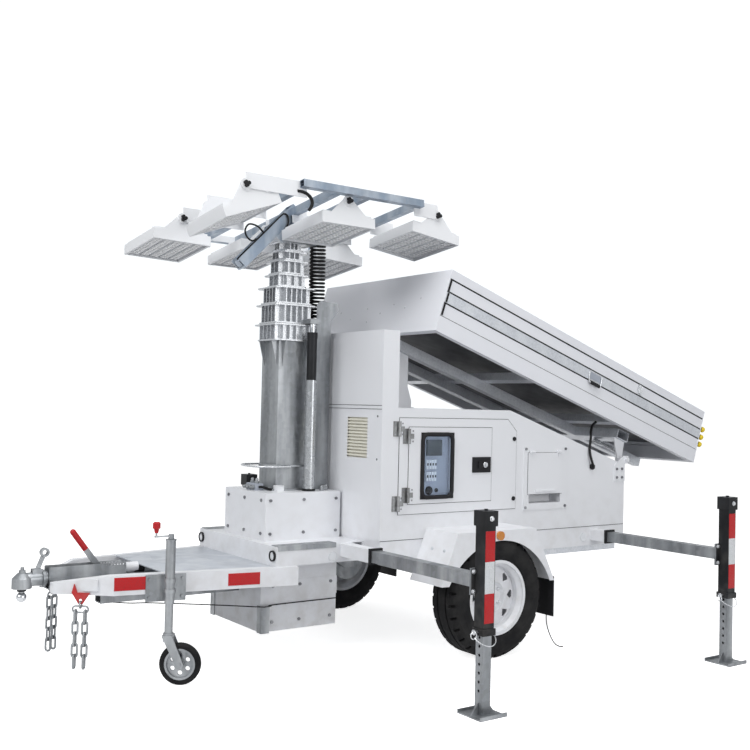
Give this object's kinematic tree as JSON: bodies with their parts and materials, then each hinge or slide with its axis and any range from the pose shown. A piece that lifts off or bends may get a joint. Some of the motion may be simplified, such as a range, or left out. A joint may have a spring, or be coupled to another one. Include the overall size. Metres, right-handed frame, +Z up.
{
  "type": "solar light tower trailer",
  "caption": "Single-axle trailer with a telescopic mast, tilting floodlights, a cabinet with doors, slide-out solar panels and pull-out outriggers.",
  "frame": {"origin": "on the ground under the middle of the rest pose's bounding box", "axes": "+X from the hitch to the rear, -Y to the side with the cabinet doors, +Z up"},
  "size_m": [4.5232, 2.5446, 2.545],
  "materials": {
    "white_paint": "semi-gloss powder coat",
    "galvanised": "hot-dip galvanised, satin",
    "black_paint": "satin black coat",
    "tyre_rubber": "matte",
    "cable_rubber": "satin",
    "white_alloy": "white coat on aluminium"
  },
  "bodies": {
    "trailer": {"near_drawbar_rail": "white_paint", "far_drawbar_rail": "white_paint", "tongue_beam": "galvanised", "coupling_head": "galvanised", "jockey_tube": "galvanised", "chassis_frame": "white_paint", "mast_platform": "white_paint", "pump_box": "white_paint", "batteries": "black_paint", "mast_base_box": "white_paint", "mast_tube": "galvanised", "lift_cylinder": "black_paint", "cable_guard": "galvanised", "coil_cable": "cable_rubber", "cabinet_shell": "white_paint", "array_supports": "white_paint", "array_housing": "white_alloy", "axle": "galvanised", "near_fender": "white_paint", "far_fender": "white_paint", "fasteners": "galvanised", "earth_lead": "cable_rubber"},
    "near_wheel": {"near_tyre": "tyre_rubber", "near_rim": "white_paint"},
    "far_wheel": {"far_tyre": "tyre_rubber", "far_rim": "white_paint"},
    "coupling_lever": {"coupling_lever": "galvanised"},
    "handbrake_lever": {"handbrake_lever": "galvanised"},
    "near_chain": {"near_chain": "galvanised"},
    "far_chain": {"far_chain": "galvanised"},
    "jockey_crank": {"jockey_crank": "galvanised"},
    "jockey_leg": {"jockey_leg": "galvanised"},
    "jockey_fork": {"jockey_fork": "galvanised"},
    "jockey_wheel": {"jockey_wheel": "tyre_rubber"},
    "near_front_outrigger": {"near_front_outrigger": "black_paint"},
    "near_front_leg": {"near_front_leg": "galvanised"},
    "near_rear_outrigger": {"near_rear_outrigger": "black_paint"},
    "near_rear_leg": {"near_rear_leg": "galvanised"},
    "far_front_outrigger": {"far_front_outrigger": "black_paint"},
    "far_front_leg": {"far_front_leg": "galvanised"},
    "far_rear_outrigger": {"far_rear_outrigger": "black_paint"},
    "far_rear_leg": {"far_rear_leg": "galvanised"},
    "mast_section_1": {"mast_section_1": "galvanised"},
    "mast_section_2": {"mast_section_2": "galvanised"},
    "mast_section_3": {"mast_section_3": "galvanised"},
    "mast_section_4": {"mast_section_4": "galvanised"},
    "mast_section_5": {"mast_section_5": "galvanised"},
    "mast_section_6": {"mast_section_6": "galvanised"},
    "lamp_head": {"lamp_frame": "galvanised"},
    "near_front_lamp": {"near_front_lamp": "white_alloy"},
    "near_middle_lamp": {"near_middle_lamp": "white_alloy"},
    "near_rear_lamp": {"near_rear_lamp": "white_alloy"},
    "far_front_lamp": {"far_front_lamp": "white_alloy"},
    "far_middle_lamp": {"far_middle_lamp": "white_alloy"},
    "far_rear_lamp": {"far_rear_lamp": "white_alloy"},
    "outer_door": {"outer_door": "white_paint"},
    "inner_door": {"inner_door": "white_paint"},
    "outlet_flap": {"outlet_flap": "white_paint"},
    "upper_panel": {"upper_panel": "white_alloy"},
    "lower_panel": {"lower_panel": "white_alloy"}
  },
  "joints": [
    {"name": "near_wheel_spin", "type": "hinge", "parent": "trailer", "child": "near_wheel", "pos_m": [0.14136, -0.38225, 0.334], "axis": [0, 1, 0], "continuous": true},
    {"name": "far_wheel_spin", "type": "hinge", "parent": "trailer", "child": "far_wheel", "pos_m": [0.14136, 1.14775, 0.334], "axis": [0, 1, 0], "continuous": true},
    {"name": "coupling_lever_lift", "type": "hinge", "parent": "trailer", "child": "coupling_lever", "pos_m": [-2.14364, 0.38275, 0.535], "axis": [0, 1, 0], "range_deg": [0, 50]},
    {"name": "handbrake_pull", "type": "hinge", "parent": "trailer", "child": "handbrake_lever", "pos_m": [-1.83363, 0.38275, 0.533], "axis": [0, 1, 0], "range_deg": [0, 50]},
    {"name": "near_chain_swing", "type": "hinge", "parent": "trailer", "child": "near_chain", "pos_m": [-1.99382, 0.16968, 0.4056], "axis": [0.6369, 0.771, 0], "range_deg": [-25, 25]},
    {"name": "far_chain_swing", "type": "hinge", "parent": "trailer", "child": "far_chain", "pos_m": [-1.99382, 0.59582, 0.4056], "axis": [-0.6369, 0.771, 0], "range_deg": [-25, 25]},
    {"name": "jockey_crank_turn", "type": "hinge", "parent": "trailer", "child": "jockey_crank", "pos_m": [-1.61864, -0.01993, 0.718], "axis": [0, 0, 1], "range_deg": [-3600, 4680]},
    {"name": "jockey_leg_slide", "type": "slide", "parent": "trailer", "child": "jockey_leg", "axis": [0, 0, 1], "range_m": [-0.1, 0.13]},
    {"name": "jockey_swivel", "type": "hinge", "parent": "jockey_leg", "child": "jockey_fork", "pos_m": [-1.61864, -0.01993, 0.23], "axis": [0, 0, 1], "continuous": true},
    {"name": "jockey_wheel_spin", "type": "hinge", "parent": "jockey_fork", "child": "jockey_wheel", "pos_m": [-1.56848, -0.05637, 0.102], "axis": [0.5878, 0.809, 0], "continuous": true},
    {"name": "near_front_outrigger_slide", "type": "slide", "parent": "trailer", "child": "near_front_outrigger", "axis": [0, 1, 0], "range_m": [0, 0.78]},
    {"name": "near_front_leg_slide", "type": "slide", "parent": "near_front_outrigger", "child": "near_front_leg", "axis": [0, 0, 1], "range_m": [-0.1, 0.3]},
    {"name": "near_rear_outrigger_slide", "type": "slide", "parent": "trailer", "child": "near_rear_outrigger", "axis": [0, 1, 0], "range_m": [0, 0.78]},
    {"name": "near_rear_leg_slide", "type": "slide", "parent": "near_rear_outrigger", "child": "near_rear_leg", "axis": [0, 0, 1], "range_m": [-0.1, 0.3]},
    {"name": "far_front_outrigger_slide", "type": "slide", "parent": "trailer", "child": "far_front_outrigger", "axis": [0, 1, 0], "range_m": [0, 0.78]},
    {"name": "far_front_leg_slide", "type": "slide", "parent": "far_front_outrigger", "child": "far_front_leg", "axis": [0, 0, 1], "range_m": [-0.4, 0]},
    {"name": "far_rear_outrigger_slide", "type": "slide", "parent": "trailer", "child": "far_rear_outrigger", "axis": [0, 1, 0], "range_m": [0, 0.78]},
    {"name": "far_rear_leg_slide", "type": "slide", "parent": "far_rear_outrigger", "child": "far_rear_leg", "axis": [0, 0, 1], "range_m": [-0.4, 0]},
    {"name": "mast_stage_1", "type": "slide", "parent": "trailer", "child": "mast_section_1", "axis": [0, 0, 1], "range_m": [0, 0.85], "deforming": ["coil_cable"]},
    {"name": "mast_stage_2", "type": "slide", "parent": "mast_section_1", "child": "mast_section_2", "axis": [0, 0, 1], "range_m": [0, 0.85]},
    {"name": "mast_stage_3", "type": "slide", "parent": "mast_section_2", "child": "mast_section_3", "axis": [0, 0, 1], "range_m": [0, 0.85]},
    {"name": "mast_stage_4", "type": "slide", "parent": "mast_section_3", "child": "mast_section_4", "axis": [0, 0, 1], "range_m": [0, 0.85]},
    {"name": "mast_stage_5", "type": "slide", "parent": "mast_section_4", "child": "mast_section_5", "axis": [0, 0, 1], "range_m": [0, 0.85]},
    {"name": "mast_stage_6", "type": "slide", "parent": "mast_section_5", "child": "mast_section_6", "axis": [0, 0, 1], "range_m": [0, 0.85]},
    {"name": "head_turn", "type": "hinge", "parent": "mast_section_6", "child": "lamp_head", "pos_m": [-0.76363, 0.38275, 2.4], "axis": [0, 0, 1], "range_deg": [-20, 15]},
    {"name": "near_front_lamp_tilt", "type": "hinge", "parent": "lamp_head", "child": "near_front_lamp", "pos_m": [-1.34363, 0.03486, 2.45056], "axis": [0, 0.9932, -0.1167], "range_deg": [-15, 40]},
    {"name": "near_middle_lamp_tilt", "type": "hinge", "parent": "lamp_head", "child": "near_middle_lamp", "pos_m": [-0.72364, 0.03486, 2.45056], "axis": [0, 0.9932, -0.1167], "range_deg": [-25, 25]},
    {"name": "near_rear_lamp_tilt", "type": "hinge", "parent": "lamp_head", "child": "near_rear_lamp", "pos_m": [-0.10863, 0.03486, 2.45056], "axis": [0, 0.9932, -0.1167], "range_deg": [-30, 15]},
    {"name": "far_front_lamp_tilt", "type": "hinge", "parent": "lamp_head", "child": "far_front_lamp", "pos_m": [-1.36363, 0.72014, 2.37006], "axis": [0, 0.9932, -0.1167], "range_deg": [-25, 25]},
    {"name": "far_middle_lamp_tilt", "type": "hinge", "parent": "lamp_head", "child": "far_middle_lamp", "pos_m": [-0.83864, 0.72014, 2.37006], "axis": [0, 0.9932, -0.1167], "range_deg": [-25, 25]},
    {"name": "far_rear_lamp_tilt", "type": "hinge", "parent": "lamp_head", "child": "far_rear_lamp", "pos_m": [-0.31864, 0.72014, 2.37006], "axis": [0, 0.9932, -0.1167], "range_deg": [-25, 15]},
    {"name": "outer_door_hinge", "type": "hinge", "parent": "trailer", "child": "outer_door", "pos_m": [-0.38664, -0.23125, 1.055], "axis": [0, 0, -1], "range_deg": [0, 100]},
    {"name": "inner_door_hinge", "type": "hinge", "parent": "outer_door", "child": "inner_door", "pos_m": [-0.32164, -0.23325, 1.055], "axis": [0, 0, -1], "range_deg": [0, 100]},
    {"name": "outlet_flap_hinge", "type": "hinge", "parent": "trailer", "child": "outlet_flap", "pos_m": [0.74636, -0.23025, 1.126], "axis": [-1, 0, 0], "range_deg": [0, 110]},
    {"name": "upper_panel_slide", "type": "slide", "parent": "trailer", "child": "upper_panel", "axis": [0, -1, 0], "range_m": [0, 1.15]},
    {"name": "lower_panel_slide", "type": "slide", "parent": "trailer", "child": "lower_panel", "axis": [0, 1, 0], "range_m": [0, 1.15]}
  ],
  "couplings": [
    {"joint": "jockey_leg_slide", "follows": "jockey_crank_turn", "m_per_rad": 0.0015915},
    {"joint": "mast_stage_2", "follows": "mast_stage_1", "ratio": 1},
    {"joint": "mast_stage_3", "follows": "mast_stage_1", "ratio": 1},
    {"joint": "mast_stage_4", "follows": "mast_stage_1", "ratio": 1},
    {"joint": "mast_stage_5", "follows": "mast_stage_1", "ratio": 1},
    {"joint": "mast_stage_6", "follows": "mast_stage_1", "ratio": 1}
  ]
}
